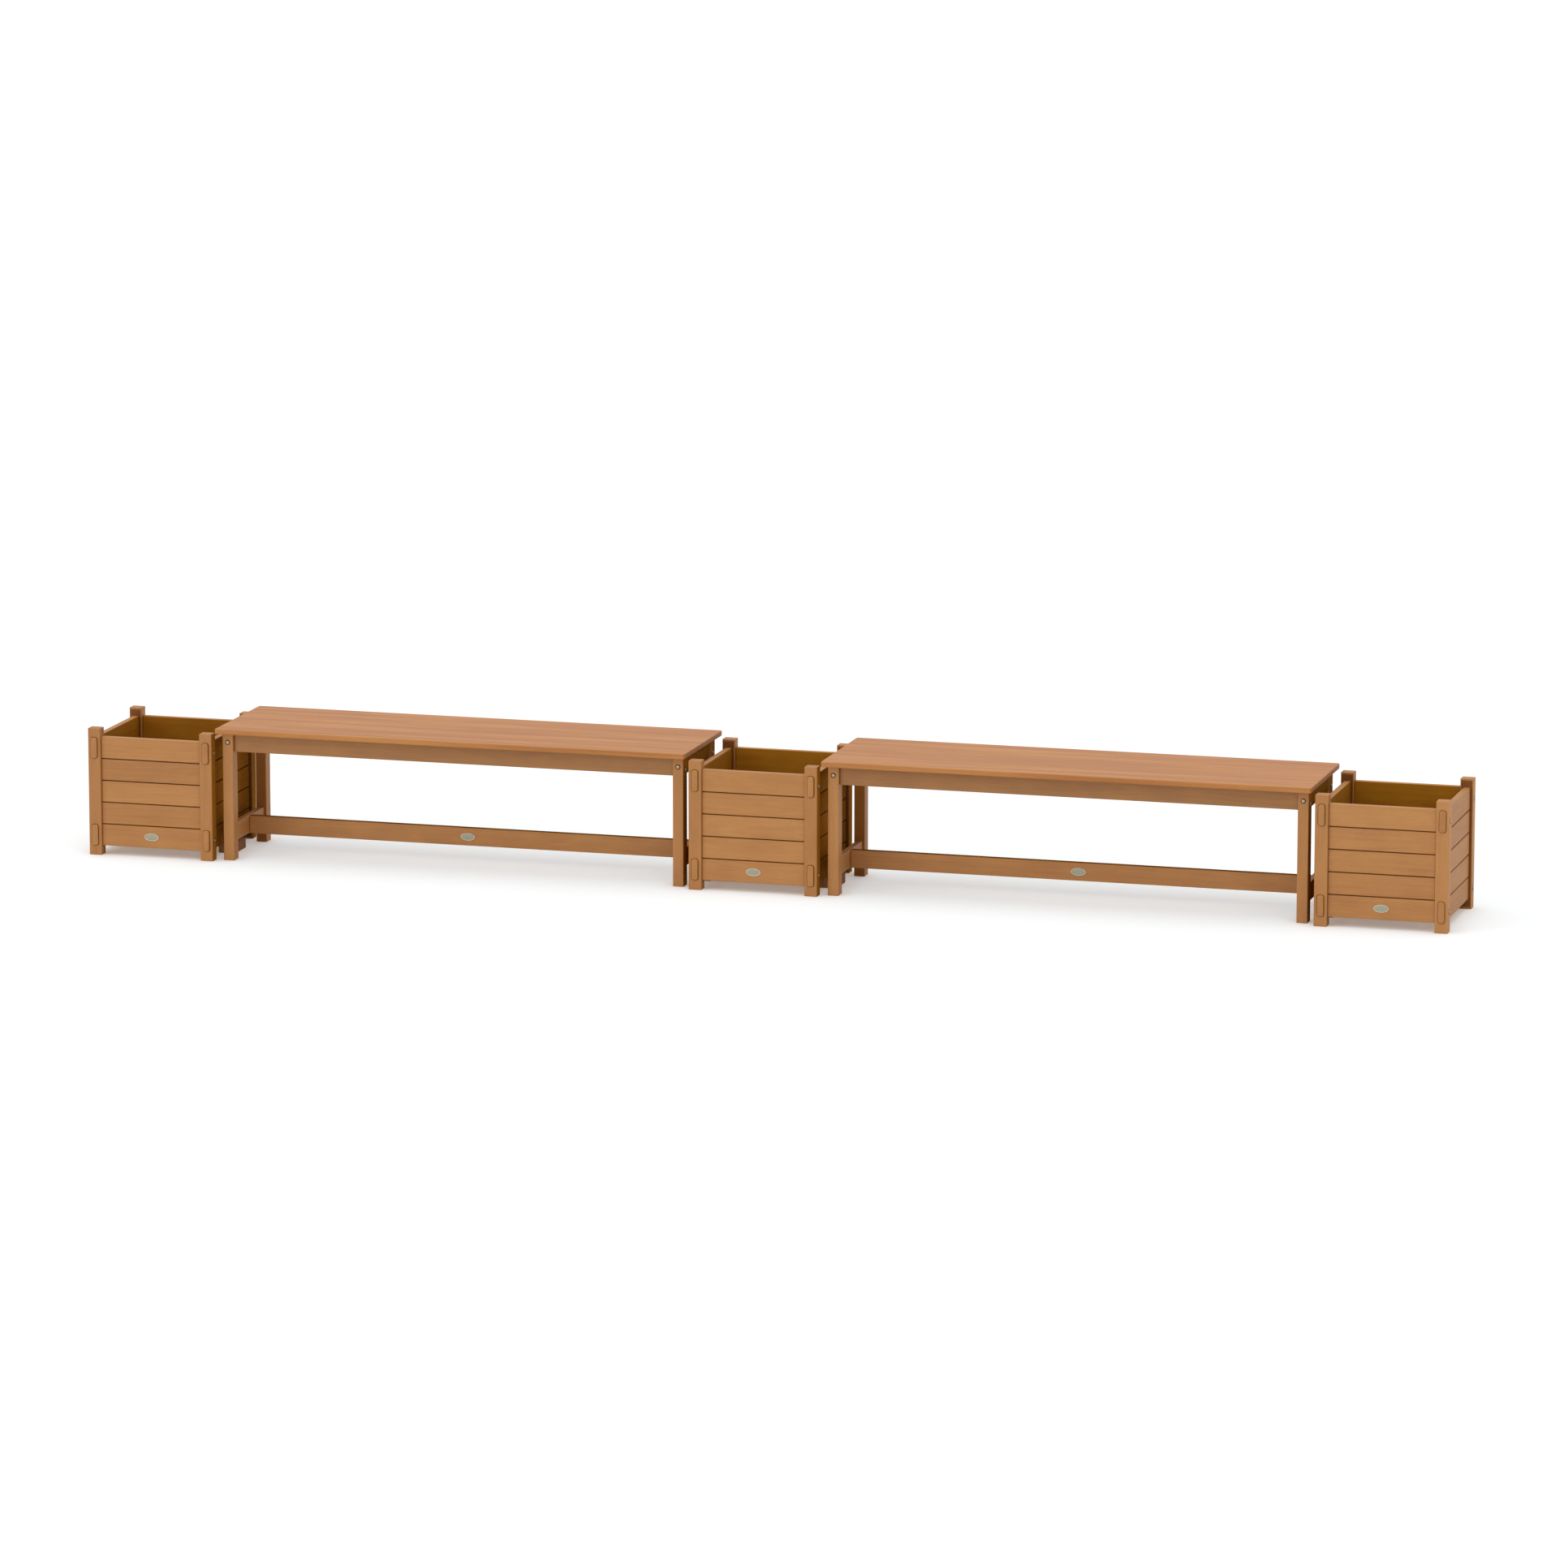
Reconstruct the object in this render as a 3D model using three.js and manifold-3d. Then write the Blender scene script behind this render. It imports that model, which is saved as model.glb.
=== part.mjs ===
// A row of three square planters with two backless benches standing between them.
// Millimetres. X runs along the row, -Y is its front, and Z is up from the ground.

import * as THREE from "three";
import { mergeVertices } from "three/addons/utils/BufferGeometryUtils.js";
import Module from "manifold-3d";

const wasm = await Module();
wasm.setup();

// What every joint shares
const jointGap = 0.3; // left between faces that meet
const cutOverrun = 1; // how far a cut runs past the face that it opens
const boardThickness = 22; // panels, aprons and stretchers
const postRounding = 4; // edges of posts and legs, and the end edges of seats
const boardRounding = 2.5; // edges of panels, aprons, stretchers and link boards

// Planter
const planterWidth = 443;
const planterDepth = 442;
const postWidth = 44;
const postDepth = 39;
const postRise = 29; // post above the panels' top edge
const panelClearance = 32; // ground to the front and rear panels
const boardHeight = 75; // one board of a panel, groove to groove
const boardCount = 5;
const grooveDepth = 2.4;
const tenonInset = 2; // tenon edge inside its board's edge
const tenonRounding = 8;
const tenonProud = 5; // tenon end beyond the post's face
const tenonRoot = 6; // tenon inside the end of its panel
const floorThickness = 16;
const floorLedge = 9; // floor above the side panels' lower edge
const housingDepth = 7; // groove in the panels that holds the floor
const drainDiameter = 14;
const drainPlaceShares = [
  [0, 0],
  [-0.3, -0.3],
  [0.3, -0.3],
  [-0.3, 0.3],
  [0.3, 0.3],
]; // of the floor's width and depth

// Link board, on the ground under the side of a planter that faces a bench
const linkHeight = 36;
const linkDepth = 110;
const linkLength = 60;
const linkForward = 19; // its middle in front of the planter's middle

// Bench
const seatLength = 1650;
const seatDepth = 453;
const seatThickness = 18;
const seatHeight = 457;
const seatCorner = 8;
const seatToPlanter = 12.5; // free space at each end of a seat
const legWidth = 37;
const legDepth = 45;
const legInsetEnd = 14.8; // seat end beyond the legs
const legInsetFront = 39.5; // seat front and rear beyond the legs
const apronHeight = 66;
const stretcherHeight = 61.5;
const stretcherClearance = 60.5; // ground to the stretchers
const stubThickness = 10;
const stubShoulder = 8; // stretcher edge beyond its stub tenon
const legStub = 20; // stub tenon into a leg
const stretcherStub = 12; // stub tenon into an end stretcher

// Bolts, whose holes are cut here
const boltHoleDiameter = 8.4;
const boltHoleDepth = 40; // into the end of a board
const endBoltDrop = 14; // bolts along X below the bolts along Y, so that they pass

// Plates on the planters' fronts and the long stretchers
const plateLength = 51;
const plateHeight = 26;
const plateThickness = 2;

const SHARP_STEPS = 1;
const ROUND_STEPS = 2;
const HOLE_SIDES = 8;
const PLATE_SIDES = 24;

const halfTurn = Math.PI;
const quarterTurn = Math.PI / 2;

const lumber = (name, color) => () =>
  new THREE.MeshStandardMaterial({ name, color, roughness: 0.6, metalness: 0 });
const postWood = lumber("post_wood", 0xb58254);
const panelWood = lumber("panel_wood", 0xb07c50);
const seatWood = lumber("seat_wood", 0xcb9470);
const frameWood = lumber("frame_wood", 0x9b7044);
const floorWood = lumber("floor_wood", 0x70460c);
const plateMetal = () =>
  new THREE.MeshStandardMaterial({ name: "plate_metal", color: 0xcfc4b0, roughness: 0.35, metalness: 1 });

// A closed geometry as a solid that can be cut and joined.
function solidOf(geometry) {
  geometry.deleteAttribute("normal");
  geometry.deleteAttribute("uv");
  const merged = mergeVertices(geometry);
  return new wasm.Manifold(
    new wasm.Mesh({
      numProp: 3,
      vertProperties: new Float32Array(merged.attributes.position.array),
      triVerts: new Uint32Array(merged.index.array),
    }),
  );
}

function pieceOf(name, solid, material) {
  const { vertProperties, triVerts } = solid.getMesh();
  const geometry = new THREE.BufferGeometry();
  geometry.setAttribute("position", new THREE.BufferAttribute(vertProperties, 3));
  geometry.setIndex(new THREE.BufferAttribute(triVerts, 1));
  geometry.computeVertexNormals();
  const piece = new THREE.Mesh(geometry, material());
  piece.name = name;
  return piece;
}

function place(piece, x, y, z, turn = 0) {
  piece.position.set(x, y, z);
  piece.rotation.z = turn;
  return piece;
}

// A rectangle about the origin with round corners.
function roundedOutline(width, height, radius, steps) {
  const points = [];
  const corners = [
    [1, 1],
    [-1, 1],
    [-1, -1],
    [1, -1],
  ];
  corners.forEach(([sideX, sideY], quarter) => {
    for (let step = 0; step <= steps; step++) {
      const angle = (quarter + step / steps) * quarterTurn;
      points.push(
        new THREE.Vector2(
          sideX * (width / 2 - radius) + radius * Math.cos(angle),
          sideY * (height / 2 - radius) + radius * Math.sin(angle),
        ),
      );
    }
  });
  return new THREE.Shape(points);
}

// A bar about the origin that runs along one axis. Its long edges have the radius
// corner, and the edges of its two ends a chamfer of the size ease.
function bar(along, [sizeX, sizeY, sizeZ], { corner, ease = 0, steps = SHARP_STEPS }) {
  const length = { x: sizeX, y: sizeY, z: sizeZ }[along];
  const [width, height] = { x: [sizeZ, sizeY], y: [sizeX, sizeZ], z: [sizeX, sizeY] }[along];
  const geometry = new THREE.ExtrudeGeometry(roundedOutline(width, height, corner, steps), {
    depth: length - 2 * ease,
    bevelEnabled: ease > 0,
    bevelThickness: ease,
    bevelSize: ease,
    bevelOffset: -ease,
    bevelSegments: 1,
  });
  geometry.translate(0, 0, ease - length / 2);
  if (along === "x") geometry.rotateY(quarterTurn);
  if (along === "y") geometry.rotateX(-quarterTurn);
  return solidOf(geometry);
}

const box = (sizeX, sizeY, sizeZ) => solidOf(new THREE.BoxGeometry(sizeX, sizeY, sizeZ));

// A round hole or, with four sides, the sharp-edged bar that cuts a V groove.
function rod(along, radius, length, sides = HOLE_SIDES) {
  const geometry = new THREE.CylinderGeometry(radius, radius, length, sides);
  if (along === "x") geometry.rotateZ(quarterTurn);
  if (along === "z") geometry.rotateX(quarterTurn);
  return solidOf(geometry);
}

const boardBar = (along, size) => bar(along, size, { corner: boardRounding, ease: boardRounding });
const boltHole = (along, length) => rod(along, boltHoleDiameter / 2, length);

// Planter heights, from the ground
const panelHeight = boardCount * boardHeight;
const panelTop = panelClearance + panelHeight;
const postHeight = panelTop + postRise;
const sidePanelBottom = linkHeight + jointGap;
const sidePanelHeight = panelTop - sidePanelBottom;
const floorBottom = sidePanelBottom + floorLedge;
const tenonHeight = boardHeight - 2 * tenonInset;
const tenonLevels = [panelClearance + boardHeight / 2, panelTop - boardHeight / 2];
const grooveLevels = Array.from({ length: boardCount - 1 }, (_, row) => panelTop - (row + 1) * boardHeight);

// Planter places, from its middle
const postX = (planterWidth - postWidth) / 2;
const postY = (planterDepth - postDepth) / 2;
const frontPanelLength = planterWidth - 2 * (postWidth + jointGap);
const sidePanelLength = planterDepth - 2 * (postDepth + jointGap);

function post(name) {
  let solid = bar("z", [postWidth, postDepth, postHeight], {
    corner: postRounding,
    ease: postRounding,
    steps: ROUND_STEPS,
  }).translate([0, 0, postHeight / 2]);
  const mortise = [boardThickness + 2 * jointGap, postDepth + 2 * cutOverrun, tenonHeight + 2 * jointGap];
  for (const level of tenonLevels) {
    solid = solid
      .subtract(bar("y", mortise, { corner: tenonRounding + jointGap, steps: ROUND_STEPS }).translate([0, 0, level]))
      .subtract(boltHole("x", postWidth + 2 * cutOverrun).translate([0, 0, level]));
  }
  return pieceOf(name, solid, postWood);
}

// The groove that holds the floor, cut in the inner face of a panel whose outer face is at -Y or -X.
function floorHousing(along, length) {
  const size = along === "x" ? [length, 2 * housingDepth] : [2 * housingDepth, length];
  const inward = along === "x" ? [0, boardThickness / 2] : [boardThickness / 2, 0];
  return box(...size, floorThickness + 2 * jointGap).translate([...inward, floorBottom + floorThickness / 2]);
}

function frontPanel(name) {
  let solid = boardBar("x", [frontPanelLength, boardThickness, panelHeight])
    .translate([0, 0, panelClearance + panelHeight / 2])
    .subtract(floorHousing("x", frontPanelLength + 2 * cutOverrun));
  for (const level of grooveLevels) {
    const groove = rod("x", grooveDepth, frontPanelLength + 2 * cutOverrun, 4);
    solid = solid.subtract(groove.translate([0, -boardThickness / 2, level]));
  }
  for (const side of [-1, 1]) {
    for (const level of tenonLevels) {
      solid = solid.subtract(boltHole("x", 2 * boltHoleDepth).translate([(side * frontPanelLength) / 2, 0, level]));
    }
  }
  return pieceOf(name, solid, panelWood);
}

// Its tenons pass through the posts and stand proud of them, and the bolts pin them there.
function sidePanel(name) {
  const tenonReach = jointGap + postDepth + tenonProud;
  const tenonSize = [boardThickness, tenonRoot + tenonReach, tenonHeight];
  const tenonY = (sidePanelLength + tenonReach - tenonRoot) / 2;
  let solid = boardBar("y", [boardThickness, sidePanelLength, sidePanelHeight]).translate([
    0,
    0,
    sidePanelBottom + sidePanelHeight / 2,
  ]);
  for (const side of [-1, 1]) {
    for (const level of tenonLevels) {
      const tenon = bar("y", tenonSize, { corner: tenonRounding, ease: boardRounding, steps: ROUND_STEPS });
      solid = solid
        .add(tenon.translate([0, side * tenonY, level]))
        .subtract(boltHole("x", boardThickness + 2 * cutOverrun).translate([0, side * postY, level]));
    }
  }
  solid = solid.subtract(floorHousing("y", sidePanelLength));
  for (const level of grooveLevels) {
    solid = solid.subtract(rod("y", grooveDepth, sidePanelLength, 4).translate([-boardThickness / 2, 0, level]));
  }
  return pieceOf(name, solid, panelWood);
}

// A board cut out at its corners for the posts, with drain holes.
function floorPanel(name) {
  const edgeX = postX - boardThickness / 2 + housingDepth - jointGap;
  const edgeY = postY - boardThickness / 2 + housingDepth - jointGap;
  const notchX = frontPanelLength / 2 - jointGap;
  const notchY = sidePanelLength / 2 - jointGap;
  const outline = new THREE.Shape(
    [
      [edgeX, notchY],
      [notchX, notchY],
      [notchX, edgeY],
      [-notchX, edgeY],
      [-notchX, notchY],
      [-edgeX, notchY],
      [-edgeX, -notchY],
      [-notchX, -notchY],
      [-notchX, -edgeY],
      [notchX, -edgeY],
      [notchX, -notchY],
      [edgeX, -notchY],
    ].map(([x, y]) => new THREE.Vector2(x, y)),
  );
  let solid = solidOf(new THREE.ExtrudeGeometry(outline, { depth: floorThickness, bevelEnabled: false }));
  for (const [shareX, shareY] of drainPlaceShares) {
    const drain = rod("z", drainDiameter / 2, floorThickness + 2 * cutOverrun);
    solid = solid.subtract(drain.translate([2 * shareX * edgeX, 2 * shareY * edgeY, floorThickness / 2]));
  }
  return pieceOf(name, solid.translate([0, 0, floorBottom]), floorWood);
}

// An oval plate that faces -Y, with its back at y = 0.
function ovalPlate(name) {
  const oval = new THREE.Shape(
    new THREE.EllipseCurve(0, 0, plateLength / 2, plateHeight / 2).getPoints(PLATE_SIDES).slice(0, -1),
  );
  const geometry = new THREE.ExtrudeGeometry(oval, { depth: plateThickness, bevelEnabled: false });
  geometry.rotateX(quarterTurn);
  return pieceOf(name, solidOf(geometry), plateMetal);
}

function planter(name) {
  const group = new THREE.Group();
  for (const [end, sideY] of [["front", -1], ["rear", 1]]) {
    for (const [side, sideX] of [["left", -1], ["right", 1]]) {
      group.add(place(post(`${name}_post_${end}_${side}`), sideX * postX, sideY * postY, 0));
    }
  }
  const plateY = -postY - boardThickness / 2 - jointGap;
  group.add(
    place(frontPanel(`${name}_front_panel`), 0, -postY, 0),
    place(frontPanel(`${name}_rear_panel`), 0, postY, 0, halfTurn),
    place(sidePanel(`${name}_left_panel`), -postX, 0, 0),
    place(sidePanel(`${name}_right_panel`), postX, 0, 0, halfTurn),
    floorPanel(`${name}_floor_panel`),
    place(ovalPlate(`${name}_plate`), 0, plateY, tenonLevels[0]),
  );
  return group;
}

// Bench heights and places, from the ground and from the bench's middle
const legHeight = seatHeight - seatThickness - jointGap;
const legX = seatLength / 2 - legInsetEnd - legWidth / 2;
const legY = seatDepth / 2 - legInsetFront - legDepth / 2;
const apronLevel = legHeight - apronHeight / 2;
const endBoltLevel = apronLevel - endBoltDrop;
const stretcherLevel = stretcherClearance + stretcherHeight / 2;
const longApronLength = 2 * legX - legWidth - 2 * jointGap;
const endBoardLength = 2 * legY - legDepth - 2 * jointGap;
const longStretcherLength = 2 * legX - boardThickness - 2 * jointGap;
const stubHeight = stretcherHeight - 2 * stubShoulder;

// Its mortise for the end stretcher opens towards +Y.
function leg(name) {
  const mortiseDepth = legStub + cutOverrun + jointGap;
  const mortise = box(stubThickness + 2 * jointGap, mortiseDepth, stubHeight + 2 * jointGap);
  const solid = bar("z", [legWidth, legDepth, legHeight], {
    corner: postRounding,
    ease: postRounding,
    steps: ROUND_STEPS,
  })
    .translate([0, 0, legHeight / 2])
    .subtract(mortise.translate([0, legDepth / 2 + cutOverrun - mortiseDepth / 2, stretcherLevel]))
    .subtract(boltHole("y", legDepth + 2 * cutOverrun).translate([0, 0, apronLevel]))
    .subtract(boltHole("x", legWidth + 2 * cutOverrun).translate([0, 0, endBoltLevel]));
  return pieceOf(name, solid, postWood);
}

function apron(name, along, length, boltLevel) {
  const size = along === "x" ? [length, boardThickness, apronHeight] : [boardThickness, length, apronHeight];
  let solid = boardBar(along, size);
  for (const end of [-length / 2, length / 2]) {
    const mouth = along === "x" ? [end, 0, boltLevel] : [0, end, boltLevel];
    solid = solid.subtract(boltHole(along, 2 * boltHoleDepth).translate(mouth));
  }
  return pieceOf(name, solid, frameWood);
}

// Its mortise for the long stretcher opens towards +X.
function endStretcher(name) {
  const mortiseDepth = stretcherStub + cutOverrun + jointGap;
  const mortise = box(mortiseDepth, stubThickness + 2 * jointGap, stubHeight + 2 * jointGap);
  const solid = boardBar("y", [boardThickness, endBoardLength, stretcherHeight])
    .add(box(stubThickness, endBoardLength + 2 * legStub, stubHeight))
    .subtract(mortise.translate([boardThickness / 2 + cutOverrun - mortiseDepth / 2, 0, 0]));
  return pieceOf(name, solid, frameWood);
}

function longStretcher(name) {
  const solid = boardBar("x", [longStretcherLength, boardThickness, stretcherHeight]).add(
    box(longStretcherLength + 2 * stretcherStub, stubThickness, stubHeight),
  );
  return pieceOf(name, solid, frameWood);
}

// One slab with round corners and eased edges.
function seat(name) {
  const solid = bar("z", [seatLength, seatDepth, seatThickness], {
    corner: seatCorner,
    ease: postRounding,
    steps: ROUND_STEPS,
  });
  return pieceOf(name, solid.translate([0, 0, seatThickness / 2]), seatWood);
}

function bench(name) {
  const group = new THREE.Group();
  for (const [end, sideY, turn] of [["front", -1, 0], ["rear", 1, halfTurn]]) {
    for (const [side, sideX] of [["left", -1], ["right", 1]]) {
      group.add(place(leg(`${name}_leg_${end}_${side}`), sideX * legX, sideY * legY, 0, turn));
    }
    const longApron = apron(`${name}_${end}_apron`, "x", longApronLength, -endBoltDrop);
    group.add(place(longApron, 0, sideY * legY, apronLevel));
  }
  for (const [side, sideX, turn] of [["left", -1, 0], ["right", 1, halfTurn]]) {
    group.add(
      place(apron(`${name}_${side}_apron`, "y", endBoardLength, 0), sideX * legX, 0, apronLevel),
      place(endStretcher(`${name}_${side}_stretcher`), sideX * legX, 0, stretcherLevel, turn),
    );
  }
  group.add(
    place(seat(`${name}_seat`), 0, 0, seatHeight - seatThickness),
    place(longStretcher(`${name}_long_stretcher`), 0, 0, stretcherLevel),
    place(ovalPlate(`${name}_plate`), 0, -boardThickness / 2 - jointGap, stretcherLevel),
  );
  return group;
}

// It lies on the ground and ends in line with the outer faces of the bench's legs.
function linkBoard(name, planterX, side) {
  const end = planterWidth / 2 + seatToPlanter + legInsetEnd;
  const piece = pieceOf(name, boardBar("x", [linkLength, linkDepth, linkHeight]), frameWood);
  return place(piece, planterX + side * (end - linkLength / 2), -linkForward, linkHeight / 2);
}

const spacing = planterWidth + seatLength + 2 * seatToPlanter; // planter middle to planter middle

const row = new THREE.Group();
row.name = "bench_with_planters";
for (const [name, step] of [["left_planter", -1], ["middle_planter", 0], ["right_planter", 1]]) {
  const unit = planter(name);
  unit.position.x = step * spacing;
  row.add(unit);
}
for (const [name, side] of [["left_bench", -1], ["right_bench", 1]]) {
  const unit = bench(name);
  unit.position.x = (side * spacing) / 2;
  row.add(unit);
}
row.add(
  linkBoard("left_planter_link_board", -spacing, 1),
  linkBoard("middle_planter_left_link_board", 0, -1),
  linkBoard("middle_planter_right_link_board", 0, 1),
  linkBoard("right_planter_link_board", spacing, -1),
);

export default row;
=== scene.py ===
"""The looks of a row of three planters with two benches between them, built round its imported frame.

X runs along the row, -Y is its front and Z is up, in metres.
"""

import math
import random

import bmesh
import bpy
from mathutils import Matrix, Vector


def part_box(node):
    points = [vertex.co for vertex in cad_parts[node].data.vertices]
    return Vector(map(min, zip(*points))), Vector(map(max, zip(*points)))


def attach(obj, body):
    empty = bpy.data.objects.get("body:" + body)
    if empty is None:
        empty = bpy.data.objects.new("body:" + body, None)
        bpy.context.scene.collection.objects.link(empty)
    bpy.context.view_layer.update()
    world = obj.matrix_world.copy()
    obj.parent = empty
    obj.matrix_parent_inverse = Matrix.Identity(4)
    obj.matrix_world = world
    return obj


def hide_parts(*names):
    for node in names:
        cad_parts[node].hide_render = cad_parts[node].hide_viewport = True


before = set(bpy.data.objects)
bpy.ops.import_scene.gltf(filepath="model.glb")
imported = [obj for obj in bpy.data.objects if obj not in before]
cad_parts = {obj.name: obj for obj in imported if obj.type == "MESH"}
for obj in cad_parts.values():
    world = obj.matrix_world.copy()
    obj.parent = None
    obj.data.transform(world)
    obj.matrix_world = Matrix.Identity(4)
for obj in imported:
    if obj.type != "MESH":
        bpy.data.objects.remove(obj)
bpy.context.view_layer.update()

PLANTERS = ("left_planter", "middle_planter", "right_planter")
BENCHES = ("left_bench", "right_bench")
LINK_BOARDS = (
    "left_planter_link_board",
    "middle_planter_left_link_board",
    "middle_planter_right_link_board",
    "right_planter_link_board",
)

# Joinery sizes that the frame's boxes don't give
JOINT = 0.0003  # left between faces that meet
BOARD_COUNT = 5  # in a panel
BOARD_GAP = 0.0009  # between two boards of a front or rear panel, closed by a tongue
SIDE_BOARD_GAP = 0.0014  # the same in a side panel
BOARD_ARRIS = 0.0025  # rounding of boards, aprons and stretchers
SEAM_ARRIS = 0.0032  # rounding of a panel's boards where their outer faces meet
TIGHT_ARRIS = 0.0003  # the same at their inner faces, which lie flush
TONGUE_THICKNESS = 0.007
TONGUE_HEIGHT = 0.006
POST_ARRIS = 0.0022  # rounding of posts and legs
SEAT_ARRIS = 0.003  # rounding of seats
SEAT_CORNER = 0.008
TENON_INSET = 0.002  # tenon edge inside its board's edge
TENON_CORNER = 0.008
TENON_ROOT = 0.006
MORTISE_LIP = 0.0014  # eased mouth of a mortise
STUB_THICKNESS = 0.01
STUB_SHOULDER = 0.008
DRAIN_RADIUS = 0.007
DRAIN_PLACE_SHARES = ((0, 0), (-0.6, -0.6), (0.6, -0.6), (-0.6, 0.6), (0.6, 0.6))

# Bolts
BOLT_HOLE_RADIUS = 0.0042
BOLT_HOLE_DEPTH = 0.0105
END_BOLT_DROP = 0.014  # bolts in a leg's end face below those in its front
BOLT_WIDTH = 0.0115  # across the head
WASHER_WIDTH = 0.0175
WASHER_THICKNESS = 0.0007
BOLT_SEED = 7  # of the angles at which the sockets came to rest

# Radius and height, in widths of the head, from the shank's tip to the top of the dome
HEAD_PROFILE = (
    (0.3, -0.6),
    (0.3, 0.0),
    (0.5, 0.0),
    (0.5, 0.05),
    (0.487, 0.093),
    (0.45, 0.13),
    (0.38, 0.167),
    (0.28, 0.197),
    (0.2, 0.208),
)
SOCKET_RADIUS = 0.15  # to a corner of its six sides
SOCKET_RIM = 0.2
SOCKET_FLOOR = 0.09

# How far in from a plate's edge and how far above its back, from the back to the field
PLATE_PROFILE = (
    (0, 0),
    (0, 0.0014),
    (0.0002, 0.0018),
    (0.0006, 0.002),
    (0.0018, 0.002),
    (0.0023, 0.0018),
    (0.0026, 0.0013),
    (0.004, 0.0013),
    (0.007, 0.00145),
    (0.0105, 0.0015),
)
FIELD_LEAST = 0.001  # a face is the field's where its lowest point is higher than this
FIELD_MOST = 0.0016  # and lower than this

# Steps of rounded shapes
ROUND_STEPS = 3
PILL_STEPS = 6
OVAL_STEPS = 64
HOLE_STEPS = 32
TURNED_STEPS = 36
SHARP_ANGLE = math.radians(40)

# Where shade is painted into the wood's colour
INWARD_REACH = 0.1  # a face that looks at a planter's middle lies at least this far from it
GAP_REACH = 0.04  # from the middle of the gap between a planter and a bench to the faces that get painted shade
LEG_PAINTED_SHADE = 0.6  # painted shade on the fronts of the left rear legs, as a share of that in a gap
SEAT_PAINTED_SHADE = 0.35  # painted shade on the long edges of the seats, as a share of that in a gap
TOP_PAINTED_SHADE = 0.14  # painted shade on a long stretcher's top, as a share of a seam's, from 0 to 1
GAP_SIDES = (
    ("left_planter_post_front_right", "left_bench_leg_front_left"),
    ("left_bench_leg_front_right", "middle_planter_post_front_left"),
    ("middle_planter_post_front_right", "right_bench_leg_front_left"),
    ("right_bench_leg_front_right", "right_planter_post_front_left"),
)
gap_middles = [(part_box(left)[1].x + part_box(right)[0].x) / 2 for left, right in GAP_SIDES]
AXES = {"x": 0, "y": 1, "z": 2}
bolt_places = []  # each bolt's place on its wood's face, and which way that face looks


def middle(name):
    """The middle of a node's box."""
    low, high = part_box(name)
    return (low + high) / 2


# Meshes


def eased_bar(low, high, radius):
    """A closed bar between two corners with its edges rounded."""
    mesh = bmesh.new()
    bmesh.ops.create_cube(mesh, size=1)
    place = Matrix.LocRotScale((low + high) / 2, None, high - low)
    bmesh.ops.transform(mesh, matrix=place, verts=mesh.verts)
    bmesh.ops.bevel(
        mesh,
        geom=mesh.edges[:],
        offset=radius,
        offset_type="OFFSET",
        segments=ROUND_STEPS,
        profile=0.5,
        affect="EDGES",
    )
    return mesh


def loft(sections):
    """A closed skin over sections that have as many points each."""
    mesh = bmesh.new()
    rows = [[mesh.verts.new(point) for point in section] for section in sections]
    for row, following in zip(rows, rows[1:]):
        for here in range(len(row)):
            beside = (here + 1) % len(row)
            mesh.faces.new((row[here], row[beside], following[beside], following[here]))
    mesh.faces.new(rows[0][::-1])
    mesh.faces.new(rows[-1])
    bmesh.ops.recalc_face_normals(mesh, faces=mesh.faces)
    return mesh


def pill(width, height, radius):
    """Points round a rectangle with round corners, about the origin."""
    points = []
    corners = ((1, 1), (-1, 1), (-1, -1), (1, -1))
    for quarter, (side_x, side_y) in enumerate(corners):
        for step in range(PILL_STEPS + 1):
            angle = (quarter + step / PILL_STEPS) * math.pi / 2
            x = side_x * (width / 2 - radius) + radius * math.cos(angle)
            y = side_y * (height / 2 - radius) + radius * math.sin(angle)
            points.append((x, y))
    return points


def rounding(radius):
    """Pairs of how far a rounded end is drawn in and how far it is short of its tip."""
    for step in range(ROUND_STEPS + 1):
        angle = step / ROUND_STEPS * math.pi / 2
        yield radius * (1 - math.cos(angle)), radius * (1 - math.sin(angle))


def board_section(centre, outward, thickness, bottom, top, gap, first, last):
    """Points (through, up) round a panel's board, with a tongue on top and a groove below.

    The first board has no groove and the last no tongue. Outward is above 0 where the panel's
    outer side is the one with the greater through, and else below 0. The gap to the next board
    is open outside the tongue, and inside it the boards meet.
    """
    half, across = thickness / 2, TONGUE_THICKNESS / 2
    closing = (gap - JOINT) / 2
    points = []

    def corner(quarter, side, level, radius):
        """Adds the points of one rounded corner."""
        through = side * (half - radius)
        up = level + (-radius if quarter < 2 else radius)
        for step in range(ROUND_STEPS + 1):
            angle = (quarter + step / ROUND_STEPS) * math.pi / 2
            points.append((through + radius * math.cos(angle), up + radius * math.sin(angle)))

    top_arris = (BOARD_ARRIS, BOARD_ARRIS) if last else (SEAM_ARRIS, TIGHT_ARRIS)
    bottom_arris = (BOARD_ARRIS, BOARD_ARRIS) if first else (SEAM_ARRIS, TIGHT_ARRIS)
    tops = (top, top if last else top + closing)
    bottoms = (bottom, bottom if first else bottom - closing)
    right, left = (0, 1) if outward > 0 else (1, 0)
    corner(0, 1, tops[right], top_arris[right])
    if not last:
        rise = top + TONGUE_HEIGHT
        points += [(across, tops[right]), (across, rise), (-across, rise), (-across, tops[left])]
    corner(1, -1, tops[left], top_arris[left])
    corner(2, -1, bottoms[left], bottom_arris[left])
    if not first:
        wide, depth = across + JOINT, bottom + TONGUE_HEIGHT
        points += [(-wide, bottoms[left]), (-wide, depth)]
        points += [(wide, depth), (wide, bottoms[right])]
    corner(3, 1, bottoms[right], bottom_arris[right])
    return [(centre + through, up) for through, up in points]


def disc(centre, axis, radius, steps):
    """Points round a circle across an axis."""
    points = []
    for step in range(steps):
        angle = step / steps * math.tau
        point = Vector(centre)
        point[(axis + 1) % 3] += radius * math.cos(angle)
        point[(axis + 2) % 3] += radius * math.sin(angle)
        points.append(point)
    return points


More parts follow.
